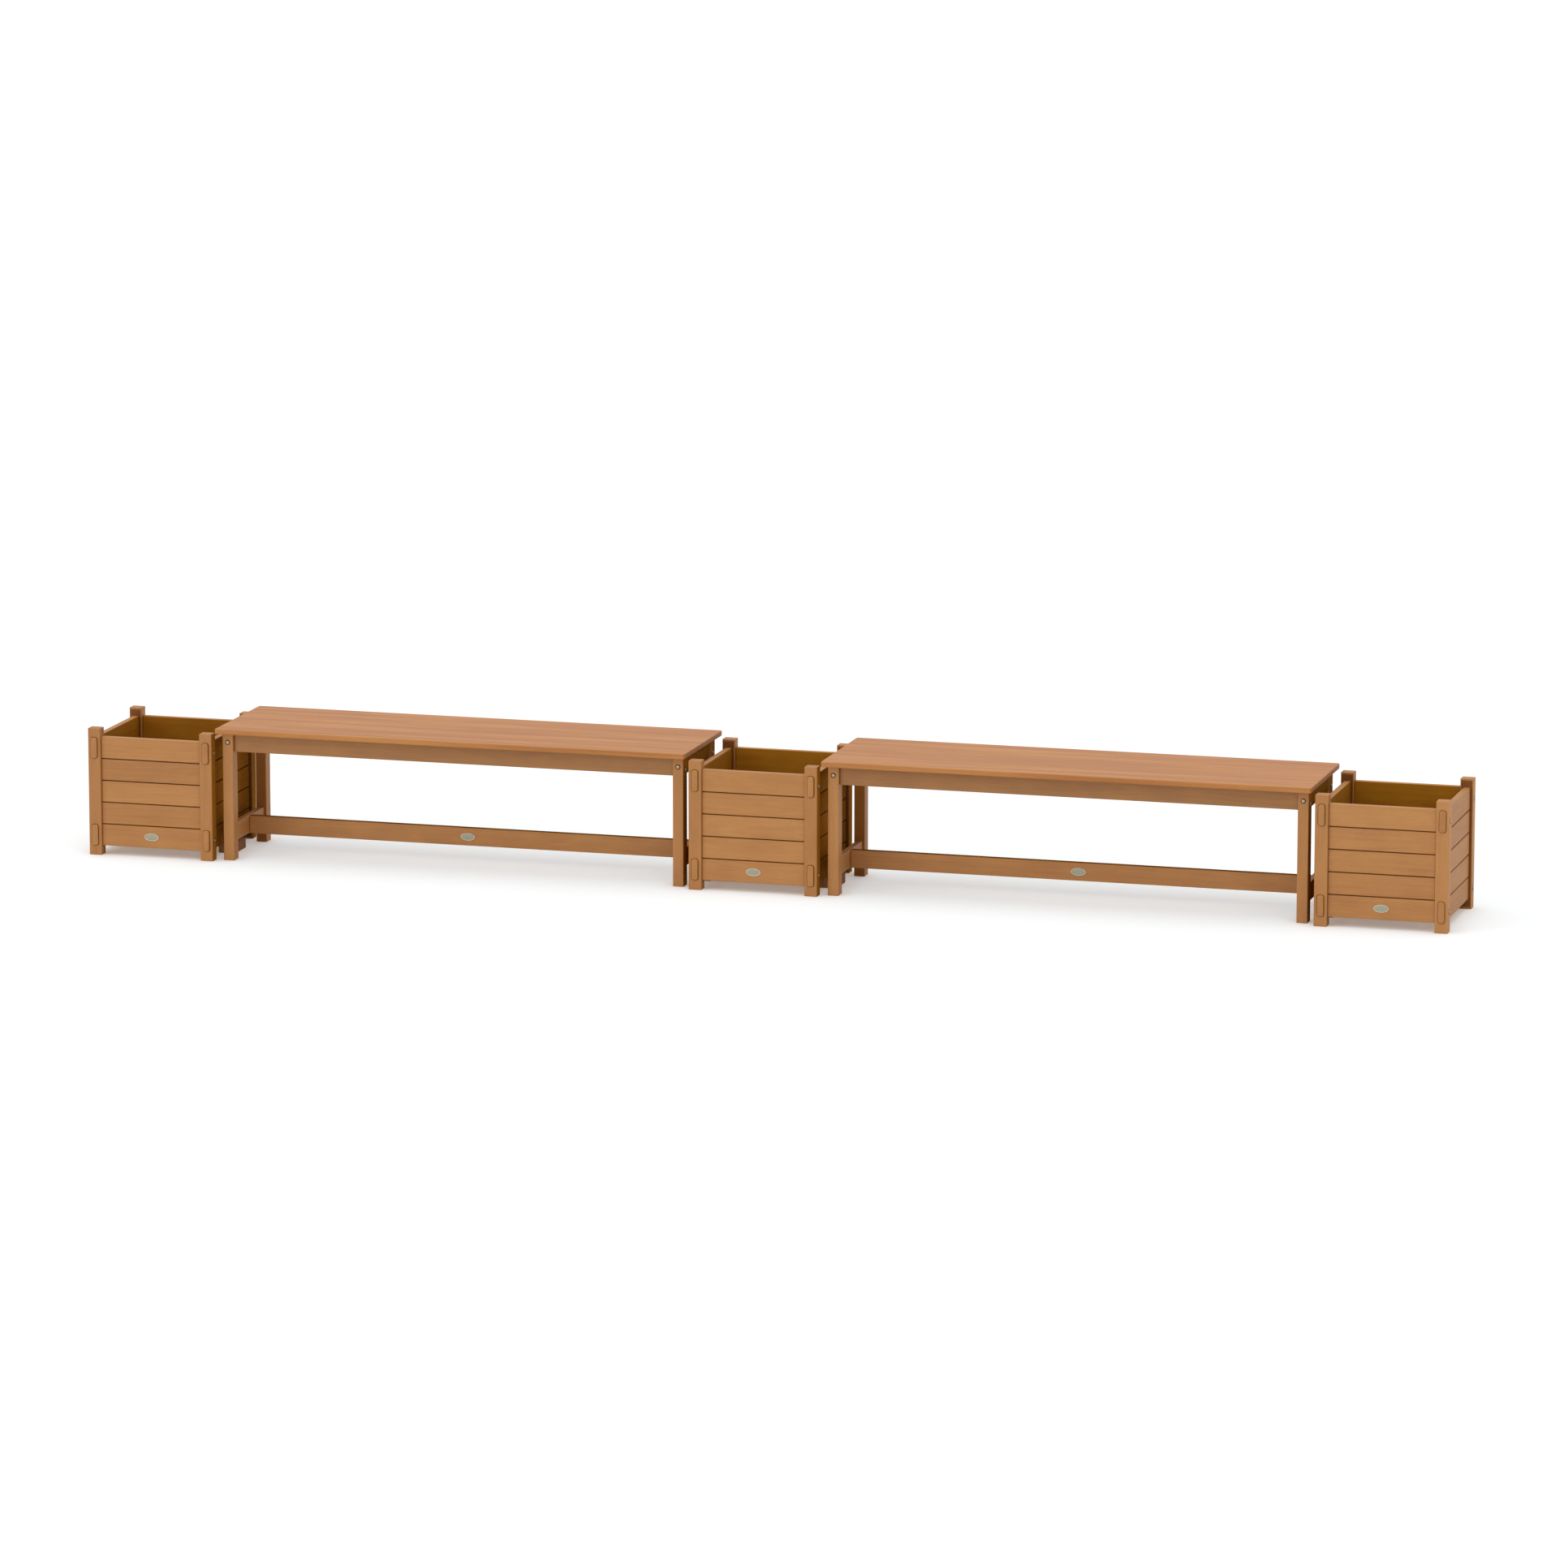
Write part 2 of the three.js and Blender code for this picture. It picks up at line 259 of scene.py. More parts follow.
def hole(centre, axis, radius, reach):
    """A rod that cuts a round hole, as far as reach on both sides of its centre."""
    ends = []
    for side in (-1, 1):
        end = Vector(centre)
        end[axis] += side * reach
        ends.append(disc(end, axis, radius, HOLE_STEPS))
    return loft(ends)


def turned(sections):
    """A closed solid turned about Z from pairs of radius and height."""
    return loft([disc((0, 0, z), 2, radius, TURNED_STEPS) for radius, z in sections])


def joined(meshes):
    """One mesh that holds them all, with their attributes."""
    whole = bmesh.new()
    for mesh in meshes:
        part = bpy.data.meshes.new("part")
        mesh.to_mesh(part)
        mesh.free()
        whole.from_mesh(part)
        bpy.data.meshes.remove(part)
    return whole


def object_of(name, mesh):
    """An object in the scene, with the mesh as it is."""
    data = bpy.data.meshes.new(name)
    mesh.to_mesh(data)
    mesh.free()
    obj = bpy.data.objects.new(name, data)
    bpy.context.scene.collection.objects.link(obj)
    return obj


def with_even_shading(name, mesh):
    """An object of the mesh, smooth but for its sharp edges."""
    for face in mesh.faces:
        face.smooth = True
    for edge in mesh.edges:
        edge.smooth = edge.calc_face_angle(0) < SHARP_ANGLE
    return object_of(name, mesh)


def settle(obj):
    """Applies the object's modifiers to its mesh."""
    bpy.context.view_layer.update()
    evaluated = obj.evaluated_get(bpy.context.evaluated_depsgraph_get())
    data = bpy.data.meshes.new_from_object(evaluated)
    obj.modifiers.clear()
    before = obj.data
    obj.data = data
    bpy.data.meshes.remove(before)
    data.name = obj.name
    return obj


def carve(mesh, cutters):
    """The mesh with the cutters taken out of it."""
    body = object_of("body", mesh)
    tool = object_of("tool", joined(cutters))
    cut = body.modifiers.new("cut", "BOOLEAN")
    cut.operation = "DIFFERENCE"
    cut.solver = "EXACT"
    cut.object = tool
    settle(body)
    carved = bmesh.new()
    carved.from_mesh(body.data)
    for obj in (body, tool):
        data = obj.data
        bpy.data.objects.remove(obj)
        bpy.data.meshes.remove(data)
    return carved


def lay_grain(mesh, along, seed):
    """Gives one board its place in its log: how far along, across and through, and its tone."""
    draw = random.Random(seed)
    sizes = [
        max(v.co[axis] for v in mesh.verts) - min(v.co[axis] for v in mesh.verts)
        for axis in range(3)
    ]
    length = AXES[along]
    across, through = sorted((a for a in range(3) if a != length), key=lambda a: -sizes[a])
    centre = [
        (max(v.co[axis] for v in mesh.verts) + min(v.co[axis] for v in mesh.verts)) / 2
        for axis in range(3)
    ]
    start = Vector((draw.uniform(2, 40), draw.uniform(-0.05, 0.05), draw.uniform(0.03, 0.11)))
    tone = draw.uniform(-1, 1)
    grain = mesh.verts.layers.float_vector.new("grain")
    tones = mesh.verts.layers.float.new("tone")
    ends = mesh.faces.layers.float.new("end_grain")
    for vert in mesh.verts:
        local = Vector(
            (vert.co[length], vert.co[across] - centre[across], vert.co[through] - centre[through])
        )
        vert[grain] = start + local
        vert[tones] = tone
    for face in mesh.faces:
        face[ends] = abs(face.normal[length])
    return mesh


def mark_inside(mesh, planter):
    """Marks the faces of a panel that look into its planter, for painted shade."""
    centre = middle(f"{planter}_floor_panel")
    inside = mesh.faces.layers.float.new("inside")
    for face in mesh.faces:
        inward = centre - face.calc_center_median()
        face[inside] = float(face.normal.x * inward.x + face.normal.y * inward.y > INWARD_REACH)
    return mesh


def mark_painted_shade(mesh, name):
    """Marks where shade is painted into the wood's colour: faces in a gap between a planter and a
    bench, the tops of the long stretchers, and in part the fronts of the left rear legs and the
    seats' edges.
    """
    sheltered = mesh.faces.layers.float.new("sheltered")
    for face in mesh.faces:
        place, facing = face.calc_center_median().x, face.normal
        to_gaps = [gap - place for gap in gap_middles]
        if any(abs(to_gap) < GAP_REACH and facing.x * to_gap > 0 for to_gap in to_gaps):
            face[sheltered] = abs(facing.x)
        elif name.endswith("long_stretcher"):
            face[sheltered] = max(0, facing.z)
        elif name.endswith("leg_rear_left"):
            face[sheltered] = LEG_PAINTED_SHADE * max(0, -facing.y)
        elif name.endswith("seat"):
            face[sheltered] = SEAT_PAINTED_SHADE * abs(facing.y)


def mark_seam(mesh, axis, levels, reach):
    """Marks how deep the points beside a seam lie below a board's faces, from 0 to 1, for painted
    shade in the groove.
    """
    seam = mesh.verts.layers.float.new("seam")
    places = [v.co[axis] for v in mesh.verts]
    low, high = min(places), max(places)
    for vert in mesh.verts:
        beside = min((abs(vert.co.z - level) for level in levels), default=reach)
        depth = min(vert.co[axis] - low, high - vert.co[axis])
        vert[seam] = min(1, depth / reach) if beside < reach else 0
    return mesh


def mark_top(mesh, level):
    """Marks the upper face of a long stretcher for painted shade, which stands for the shade of the
    seat above it.
    """
    seam = mesh.verts.layers.float.new("seam")
    for vert in mesh.verts:
        vert[seam] = TOP_PAINTED_SHADE if vert.co.z > level - JOINT else 0
    return mesh


def mark_mortises(mesh, planter, x, face):
    """Marks how deep the points of a post's mortises lie below its face, from 0 to 1, for painted
    shade in their mouths.
    """
    seam = mesh.verts.layers.float.new("seam")
    low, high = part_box(f"{planter}_front_panel")
    half_width = (high.y - low.y) / 2 + 2 * MORTISE_LIP
    half_height = tenon_height(planter) / 2 + 2 * MORTISE_LIP
    for vert in mesh.verts:
        beside = min(abs(vert.co.z - level) for level in tenon_levels(planter))
        if beside < half_height and abs(vert.co.x - x) < half_width:
            vert[seam] = min(1, abs(vert.co.y - face) / MORTISE_LIP)
    return mesh


def mark_run(mesh, axis, start, end):
    """Marks how far each point lies from a board's middle, and how far its ends do."""
    run = mesh.verts.layers.float.new("run")
    reach = mesh.verts.layers.float.new("reach")
    for vert in mesh.verts:
        vert[run] = vert.co[axis] - (start + end) / 2
        vert[reach] = abs(end - start) / 2
    return mesh


def mark_arrises(mesh):
    """Marks rounded edges with 1, hollow ones with -1, and the flats beside both with 0."""
    arris = mesh.verts.layers.float.new("arris")
    step = math.pi / 2 / ROUND_STEPS
    for vert in mesh.verts:
        turns = [e.calc_face_angle_signed(0) for e in vert.link_edges]
        turns = [t for t in turns if abs(t) < SHARP_ANGLE]
        strongest = max(turns, key=abs, default=0)
        share = max(0, min(1, 2 * abs(strongest) / step - 1))
        vert[arris] = math.copysign(share, strongest)


def piece(name, mesh, materials):
    """Finishes a mesh as the piece that rides on the body and stands for the node of its name."""
    mark_arrises(mesh)
    mark_painted_shade(mesh, name)
    obj = with_even_shading(name, mesh)
    for material in materials:
        obj.data.materials.append(material)
    weighted = obj.modifiers.new("even shading", "WEIGHTED_NORMAL")
    weighted.keep_sharp = True
    settle(obj)
    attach(obj, "root")
    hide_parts(name)


# Materials


class Finish:
    """A material that is built node by node round one principled shader."""

    def __init__(self, name):
        self.material = bpy.data.materials.new(name)
        self.material.use_nodes = True
        self.nodes = self.material.node_tree.nodes
        self.shader = self.nodes["Principled BSDF"]

    def link(self, value, socket):
        """Joins a node's output to a socket, or sets the socket to a constant."""
        if isinstance(value, bpy.types.NodeSocket):
            self.material.node_tree.links.new(value, socket)
        else:
            socket.default_value = value

    def math(self, operation, first, second=0.0, third=0.0):
        """The result of one sum, such as first x second + third for MULTIPLY_ADD."""
        node = self.nodes.new("ShaderNodeMath")
        node.operation = operation
        for value, socket in zip((first, second, third), node.inputs):
            self.link(value, socket)
        return node.outputs[0]

    def stretched(self, vector, along, across):
        """The vector with its first axis scaled one way and the others another."""
        node = self.nodes.new("ShaderNodeVectorMath")
        node.operation = "MULTIPLY"
        self.link(vector, node.inputs[0])
        node.inputs[1].default_value = (along, across, across)
        return node.outputs[0]

    def noise(self, vector, detail=2.0, roughness=0.5):
        """Cloudy noise from 0 to 1, about one cloud to a unit of the vector."""
        node = self.nodes.new("ShaderNodeTexNoise")
        self.link(vector, node.inputs["Vector"])
        node.inputs["Scale"].default_value = 1
        node.inputs["Detail"].default_value = detail
        node.inputs["Roughness"].default_value = roughness
        return node.outputs["Fac"]

    def ranged(self, value, low, high, to_low=0.0, to_high=1.0):
        """A smooth step from to_low at low to to_high at high."""
        node = self.nodes.new("ShaderNodeMapRange")
        node.interpolation_type = "SMOOTHSTEP"
        for number, socket in zip((value, low, high, to_low, to_high), node.inputs):
            self.link(number, socket)
        return node.outputs[0]

    def ramp(self, value, stops):
        """A colour that runs through the stops, each a place and a colour."""
        node = self.nodes.new("ShaderNodeValToRGB")
        self.link(value, node.inputs[0])
        for _ in stops[2:]:
            node.color_ramp.elements.new(0.5)
        for element, (place, colour) in zip(node.color_ramp.elements, stops):
            element.position = place
            element.color = (*colour, 1)
        return node.outputs[0]

    def mixed(self, share, first, second, way="MIX"):
        """The first colour with a share of the second one laid over it."""
        node = self.nodes.new("ShaderNodeMix")
        node.data_type = "RGBA"
        node.blend_type = way
        self.link(share, node.inputs[0])
        self.link(first if not isinstance(first, tuple) else (*first, 1), node.inputs[6])
        self.link(second if not isinstance(second, tuple) else (*second, 1), node.inputs[7])
        return node.outputs[2]

    def attribute(self, name, output):
        """What the mesh's own attribute says at each place."""
        node = self.nodes.new("ShaderNodeAttribute")
        node.attribute_name = name
        return node.outputs[output]

    def bump(self, height, distance):
        """Raises the surface by up to the distance, in metres, where height is 1."""
        node = self.nodes.new("ShaderNodeBump")
        self.link(height, node.inputs["Height"])
        node.inputs["Distance"].default_value = distance
        self.link(node.outputs[0], self.shader.inputs["Normal"])

    def set(self, values):
        """Gives the shader its values by the names of its sockets."""
        for name, value in values.items():
            self.link(value, self.shader.inputs[name])


def linear(red, green, blue):
    """A colour as written on a screen, as light."""
    return tuple(
        c / 12.92 if c <= 0.04045 else ((c + 0.055) / 1.055) ** 2.4
        for c in (red / 255, green / 255, blue / 255)
    )


# Shades that the wood's own colour is multiplied by. Pores, burrs and cut ends are the wood's own;
# the hollow, inside, seam and shelter shades are painted shade
PORE_SHADE = (0.45, 0.36, 0.28)
BURR_SHADE = (0.62, 0.48, 0.38)
HOLLOW_PAINTED_SHADE = (0.5, 0.42, 0.34)
CUT_END_SHADE = (0.62, 0.55, 0.36)
INSIDE_PAINTED_SHADE = (0.79, 0.75, 0.16)
SEAM_PAINTED_SHADE = (0.45, 0.35, 0.22)
SHELTER_PAINTED_SHADE = (0.76, 0.73, 0.42)

RINGS_IN_A_METRE = 190
JOINT_DARKEST = 0.0005  # painted shade where a board's end meets the next piece, darkest this far from the end
JOINT_LIGHTEST = 0.0035
GRAIN_RELIEF = 0.00012
OILED_IOR = 1.65


def oiled_wood(name, dark, plain, pale, clouding=0.36, banding=0.26, bands=22, end_depth=0.1):
    """Oiled hardwood whose rings, bands, streaks and pores follow each board's own grain.

    Clouding and banding say how strong its clouds and its bands are, bands how many bands lie
    in a metre across the grain, and end_depth how far cut ends are darker.
    """
    wood = Finish(name)
    grain = wood.attribute("grain", "Vector")
    tone = wood.attribute("tone", "Fac")
    arris = wood.attribute("arris", "Fac")
    end = wood.attribute("end_grain", "Fac")
    inside = wood.attribute("inside", "Fac")
    seam = wood.attribute("seam", "Fac")
    sheltered = wood.attribute("sheltered", "Fac")
    run = wood.math("ABSOLUTE", wood.attribute("run", "Fac"))
    reach = wood.attribute("reach", "Fac")

    # Growth rings round the heart of the log that the board was cut from
    split = wood.nodes.new("ShaderNodeSeparateXYZ")
    wood.link(grain, split.inputs[0])
    across, through = split.outputs[1], split.outputs[2]
    wander = wood.noise(wood.stretched(grain, 1.1, 8), 2)
    ripple = wood.noise(wood.stretched(grain, 5, 55), 3)
    across_squared = wood.math("MULTIPLY", across, across)
    both_squared = wood.math("MULTIPLY_ADD", through, through, across_squared)
    from_heart = wood.math("SQRT", both_squared)
    from_heart = wood.math("MULTIPLY_ADD", wander, 0.05, from_heart)
    from_heart = wood.math("MULTIPLY_ADD", ripple, 0.0035, from_heart)
    rings = wood.math("FRACT", wood.math("MULTIPLY", from_heart, RINGS_IN_A_METRE))
    slow_rise = wood.ranged(rings, 0.15, 0.8)
    quick_fall = wood.ranged(rings, 0.86, 1.0, 1.0, 0.0)
    late_wood = wood.math("MULTIPLY", slow_rise, quick_fall)

    # Clouds, bands, streaks, fibres and pores, each longer along the grain than across it
    clouds = wood.noise(wood.stretched(grain, 9, 14), 2)
    broad = wood.noise(wood.stretched(grain, 1.6, bands), 2)
    streaks = wood.noise(wood.stretched(grain, 3.2, 130), 4, 0.6)
    fibres = wood.noise(wood.stretched(grain, 16, 900), 3, 0.65)
    pores = wood.ranged(wood.noise(wood.stretched(grain, 70, 1500), 1), 0.64, 0.72)

    # How pale the wood is, from 0 to 1
    pallor = wood.math("MULTIPLY_ADD", wood.math("SUBTRACT", late_wood, 0.5), -0.07, 0.5)
    pallor = wood.math("MULTIPLY_ADD", wood.math("SUBTRACT", clouds, 0.5), clouding, pallor)
    pallor = wood.math("MULTIPLY_ADD", wood.math("SUBTRACT", broad, 0.5), banding, pallor)
    pallor = wood.math("MULTIPLY_ADD", wood.math("SUBTRACT", streaks, 0.5), 0.3, pallor)
    pallor = wood.math("MULTIPLY_ADD", wood.math("SUBTRACT", fibres, 0.5), 0.42, pallor)
    pallor = wood.math("MULTIPLY_ADD", tone, 0.1, pallor)
    colour = wood.ramp(pallor, ((0.12, dark), (0.5, plain), (0.9, pale)))
    colour = wood.mixed(wood.math("MULTIPLY", pores, 0.35), colour, PORE_SHADE, "MULTIPLY")

    # Short dark flecks and a few burrs, where a small branch began
    burr = wood.nodes.new("ShaderNodeTexVoronoi")
    wood.link(wood.stretched(grain, 3.1, 15), burr.inputs["Vector"])
    burr.inputs["Scale"].default_value = 1
    burr_split = wood.nodes.new("ShaderNodeSeparateXYZ")
    wood.link(burr.outputs["Color"], burr_split.inputs[0])
    chosen = wood.ranged(burr_split.outputs[0], 0.8, 0.82)
    ragged = wood.math("MULTIPLY_ADD", streaks, 0.3, burr.outputs["Distance"])
    mark = wood.ranged(ragged, 0.18, 0.5, 1.0, 0.0)
    mark = wood.math("MULTIPLY", wood.math("MULTIPLY", mark, chosen), 0.3)
    colour = wood.mixed(mark, colour, BURR_SHADE, "MULTIPLY")

    # Edges go pale, as wear and as painted highlight. Hollows, planter insides, seams, mortise
    # mouths, board ends at joints and the faces in the gaps and under the seat get painted shade, and
    # cut ends are darker end grain
    patchy = wood.ranged(streaks, 0.35, 0.65, 0.04, 0.16)
    edge_wear_and_highlight = wood.math("MULTIPLY", wood.ranged(arris, 0.1, 1.0), patchy)
    colour = wood.mixed(edge_wear_and_highlight, colour, pale)
    # Painted shade in hollow edges
    hollow = wood.ranged(arris, -1.0, -0.1, 0.35, 0.0)
    colour = wood.mixed(hollow, colour, HOLLOW_PAINTED_SHADE, "MULTIPLY")
    cut_end = wood.ranged(end, 0.75, 1.0, 0.0, end_depth)
    colour = wood.mixed(cut_end, colour, CUT_END_SHADE, "MULTIPLY")
    # Painted shade on the faces inside the planters
    colour = wood.mixed(inside, colour, INSIDE_PAINTED_SHADE, "MULTIPLY")
    # Painted shade in seams, mortise mouths, on the long stretchers' tops and near board ends where
    # they meet the next piece
    painted_seam_shade = wood.ranged(seam, 0.0, 0.27)
    to_end = wood.math("SUBTRACT", reach, run)
    painted_joint_shade = wood.ranged(to_end, JOINT_DARKEST, JOINT_LIGHTEST, 0.8, 0.0)
    painted_joint_shade = wood.math("MULTIPLY", painted_joint_shade, wood.ranged(reach, 0.0, 0.01))
    painted_seam_shade = wood.math("MAXIMUM", painted_seam_shade, painted_joint_shade)
    colour = wood.mixed(painted_seam_shade, colour, SEAM_PAINTED_SHADE, "MULTIPLY")
    # Painted shade in the gaps, on the long stretchers' tops, the left rear legs' fronts and the
    # seats' edges
    colour = wood.mixed(sheltered, colour, SHELTER_PAINTED_SHADE, "MULTIPLY")

    # Streaks and pores are duller, and the shine is cut inside the planters, in seams and in the
    # other painted shade
    roughness = wood.math("MULTIPLY_ADD", streaks, 0.12, 0.54)
    roughness = wood.math("MULTIPLY_ADD", pores, 0.1, roughness)
    shine = wood.math("MULTIPLY_ADD", inside, -0.42, 0.5)
    shine = wood.math("MULTIPLY_ADD", painted_seam_shade, -0.3, shine)
    shine = wood.math("MAXIMUM", wood.math("MULTIPLY_ADD", sheltered, -0.5, shine), 0.0)
    wood.set(
        {
            "Base Color": colour,
            "Roughness": roughness,
            "IOR": OILED_IOR,
            "Specular IOR Level": shine,
        }
    )

    # Fibres and late wood stand up, and pores are sunk
    height = wood.math("MULTIPLY_ADD", fibres, 0.6, wood.math("MULTIPLY", late_wood, 0.35))
    height = wood.math("MULTIPLY_ADD", pores, -0.5, height)
    wood.bump(height, GRAIN_RELIEF)
    return wood.material


def steel(name, low_tone, high_tone, shine):
    """Turned and lightly tumbled steel."""
    metal = Finish(name)
    place = metal.nodes.new("ShaderNodeTexCoord").outputs["Object"]
    haze = metal.noise(metal.stretched(place, 380, 380), 3)
    scratches = metal.noise(metal.stretched(place, 5200, 900), 2, 0.6)
    colour = metal.ramp(haze, ((0.3, low_tone), (0.7, high_tone)))
    roughness = metal.math("MULTIPLY_ADD", haze, 0.14, shine)
    roughness = metal.math("MULTIPLY_ADD", scratches, 0.16, roughness)
    metal.set({"Base Color": colour, "Metallic": 1.0, "Roughness": roughness})
    metal.bump(scratches, 0.00003)
    return metal.material


def brushed_plate(name, low_tone, high_tone, shine):
    """Brushed sheet metal with its strokes along the plate."""
    metal = Finish(name)
    place = metal.nodes.new("ShaderNodeTexCoord").outputs["Object"]
    strokes = metal.noise(metal.stretched(place, 90, 4200), 3, 0.7)
    haze = metal.noise(metal.stretched(place, 160, 160), 2)
    depth = metal.math("MULTIPLY_ADD", haze, 0.5, metal.math("MULTIPLY", strokes, 0.5))
    colour = metal.ramp(depth, ((0.3, low_tone), (0.7, high_tone)))
    roughness = metal.math("MULTIPLY_ADD", strokes, 0.2, shine)
    metal.set({"Base Color": colour, "Metallic": 0.75, "Roughness": roughness})
    metal.bump(strokes, 0.00002)
    return metal.material


WOOD_DARK = linear(150, 93, 36)
WOOD_PLAIN = linear(172, 114, 50)
WOOD_PALE = linear(190, 133, 66)
# The aprons' colours are darker than the other wood's
APRON_DARK = linear(136, 86, 35)
APRON_PLAIN = linear(157, 105, 46)
APRON_PALE = linear(175, 122, 60)
# The seat's colours are lighter than the other wood's: painted light, for the brighter light on its
# top
SEAT_LIT_DARK = linear(157, 94, 39)
SEAT_LIT_PLAIN = linear(180, 116, 54)
SEAT_LIT_PALE = linear(198, 136, 71)
post_wood = oiled_wood("post wood", WOOD_DARK, WOOD_PLAIN, WOOD_PALE)
panel_wood = oiled_wood("panel wood", WOOD_DARK, WOOD_PLAIN, WOOD_PALE)
frame_wood = oiled_wood("frame wood", WOOD_DARK, WOOD_PLAIN, WOOD_PALE)
apron_wood = oiled_wood("apron wood", APRON_DARK, APRON_PLAIN, APRON_PALE)
seat_wood = oiled_wood("seat wood", SEAT_LIT_DARK, SEAT_LIT_PLAIN, SEAT_LIT_PALE, 0.12, 1.1, 34, 0.85)
floor_wood = oiled_wood("floor wood", WOOD_DARK, WOOD_PLAIN, WOOD_PALE)
bolt_steel = steel("bolt steel", linear(172, 156, 132), linear(196, 180, 156), 0.24)
# The washers are dark brown, which shows as a dark ring round each head
washer_steel = steel("washer steel", linear(84, 63, 38), linear(106, 82, 52), 0.4)
rim_metal = brushed_plate("plate rim", linear(196, 186, 160), linear(222, 213, 190), 0.3)
field_metal = brushed_plate("plate field", linear(150, 150, 132), linear(174, 172, 154), 0.36)


# Planters


def ring_at(x, y, level, width, height, corner):
    """Points round a tenon or a mortise, upright and across Y."""
    return [Vector((x + px, y, level + pz)) for px, pz in pill(width, height, corner)]


def tenon_levels(planter):
    """Heights of the lowest and the highest board of a planter."""
    low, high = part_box(f"{planter}_front_panel")
    board = (high.z - low.z) / BOARD_COUNT
    return low.z + board / 2, high.z - board / 2


def tenon_height(planter):
    """How high a planter's tenons are."""
    low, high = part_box(f"{planter}_front_panel")
    return (high.z - low.z) / BOARD_COUNT - 2 * TENON_INSET


def tenon(planter, x, level, root, tip):
    """A through tenon from its root at the end of its board to its rounded tip."""
    low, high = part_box(f"{planter}_front_panel")
    thickness, height = high.y - low.y, tenon_height(planter)
    out = math.copysign(1, tip - root)
    sections = [ring_at(x, root, level, thickness, height, TENON_CORNER)]
    for drawn_in, short in rounding(BOARD_ARRIS):
        sections.append(
            ring_at(
                x,
                tip - out * short,
                level,
                thickness - 2 * drawn_in,
                height - 2 * drawn_in,
                TENON_CORNER - drawn_in,
            )
        )
    return loft(sections)


def mortise(planter, x, level, inner, face):
    """The cutter for a through mortise whose mouth at the face is eased."""
    low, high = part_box(f"{planter}_front_panel")
    out = math.copysign(1, face - inner)
    sections = []
    for y, wider in (
        (inner - out * TENON_ROOT, JOINT),
        (face - out * MORTISE_LIP, JOINT),
        (face, JOINT + MORTISE_LIP),
        (face + out * MORTISE_LIP, JOINT + 2 * MORTISE_LIP),
    ):
        width = high.y - low.y + 2 * wider
        height = tenon_height(planter) + 2 * wider
        sections.append(ring_at(x, y, level, width, height, TENON_CORNER + wider))
    return loft(sections)


def panel_boards(planter, name, along, start, end):
    """The boards of a panel from the ground up, each with its row."""
    low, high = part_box(name)
    height = (high.z - low.z) / BOARD_COUNT
    across = 1 if along == "x" else 0
    centre, thickness = (low[across] + high[across]) / 2, high[across] - low[across]
    outward = centre - middle(f"{planter}_floor_panel")[across]
    gap = BOARD_GAP if along == "x" else SIDE_BOARD_GAP
    for row in range(BOARD_COUNT):
        first, last = row == 0, row == BOARD_COUNT - 1
        bottom = low.z + row * height + (0 if first else gap / 2)
        top = low.z + (row + 1) * height - (0 if last else gap / 2)
        section = board_section(centre, outward, thickness, bottom, top, gap, first, last)
        ends = []
        for place in (start, end):
            if along == "x":
                ends.append([Vector((place, through, up)) for through, up in section])
            else:
                ends.append([Vector((through, place, up)) for through, up in section])
        seams = ([] if first else [bottom]) + ([] if last else [top])
        board = mark_seam(loft(ends), across, seams, SEAM_ARRIS)
        yield row, mark_run(board, 1 - across, start, end)


def build_long_panel(planter, end):
    """The front or the rear panel, whose boards end against the posts."""
    name = f"{planter}_{end}_panel"
    low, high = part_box(name)
    boards = []
    for row, board in panel_boards(planter, name, "x", low.x, high.x):
        boards.append(lay_grain(board, "x", f"{name} {row}"))
    piece(name, mark_inside(joined(boards), planter), [panel_wood])


def build_side_panel(planter, side):
    """The left or the right panel, whose top and bottom boards have through tenons."""
    name = f"{planter}_{side}_panel"
    low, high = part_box(name)
    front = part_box(f"{planter}_post_front_{side}")[1].y + JOINT
    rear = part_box(f"{planter}_post_rear_{side}")[0].y - JOINT
    boards = []
    for row, board in panel_boards(planter, name, "y", front, rear):
        parts = [board]
        if row in (0, BOARD_COUNT - 1):
            level = tenon_levels(planter)[0 if row == 0 else 1]
            x = (low.x + high.x) / 2
            parts.append(tenon(planter, x, level, front, low.y))
            parts.append(tenon(planter, x, level, rear, high.y))
        boards.append(lay_grain(joined(parts), "y", f"{name} {row}"))
    piece(name, mark_inside(joined(boards), planter), [panel_wood])


def build_post(planter, end, side):
    """A corner post with its two through mortises and the holes for its bolts."""
    name = f"{planter}_post_{end}_{side}"
    low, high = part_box(name)
    inner, face = (high.y, low.y) if end == "front" else (low.y, high.y)
    outer = low.x if side == "left" else high.x
    x, y = (low.x + high.x) / 2, (low.y + high.y) / 2
    cutters = []
    for level in tenon_levels(planter):
        cutters.append(mortise(planter, x, level, inner, face))
        cutters.append(hole((outer, y, level), 0, BOLT_HOLE_RADIUS, BOLT_HOLE_DEPTH))
        bolt_places.append(((outer, y, level), (outer - x, 0, 0)))
    post = mark_mortises(carve(eased_bar(low, high, POST_ARRIS), cutters), planter, x, face)
    piece(name, lay_grain(post, "z", name), [post_wood])


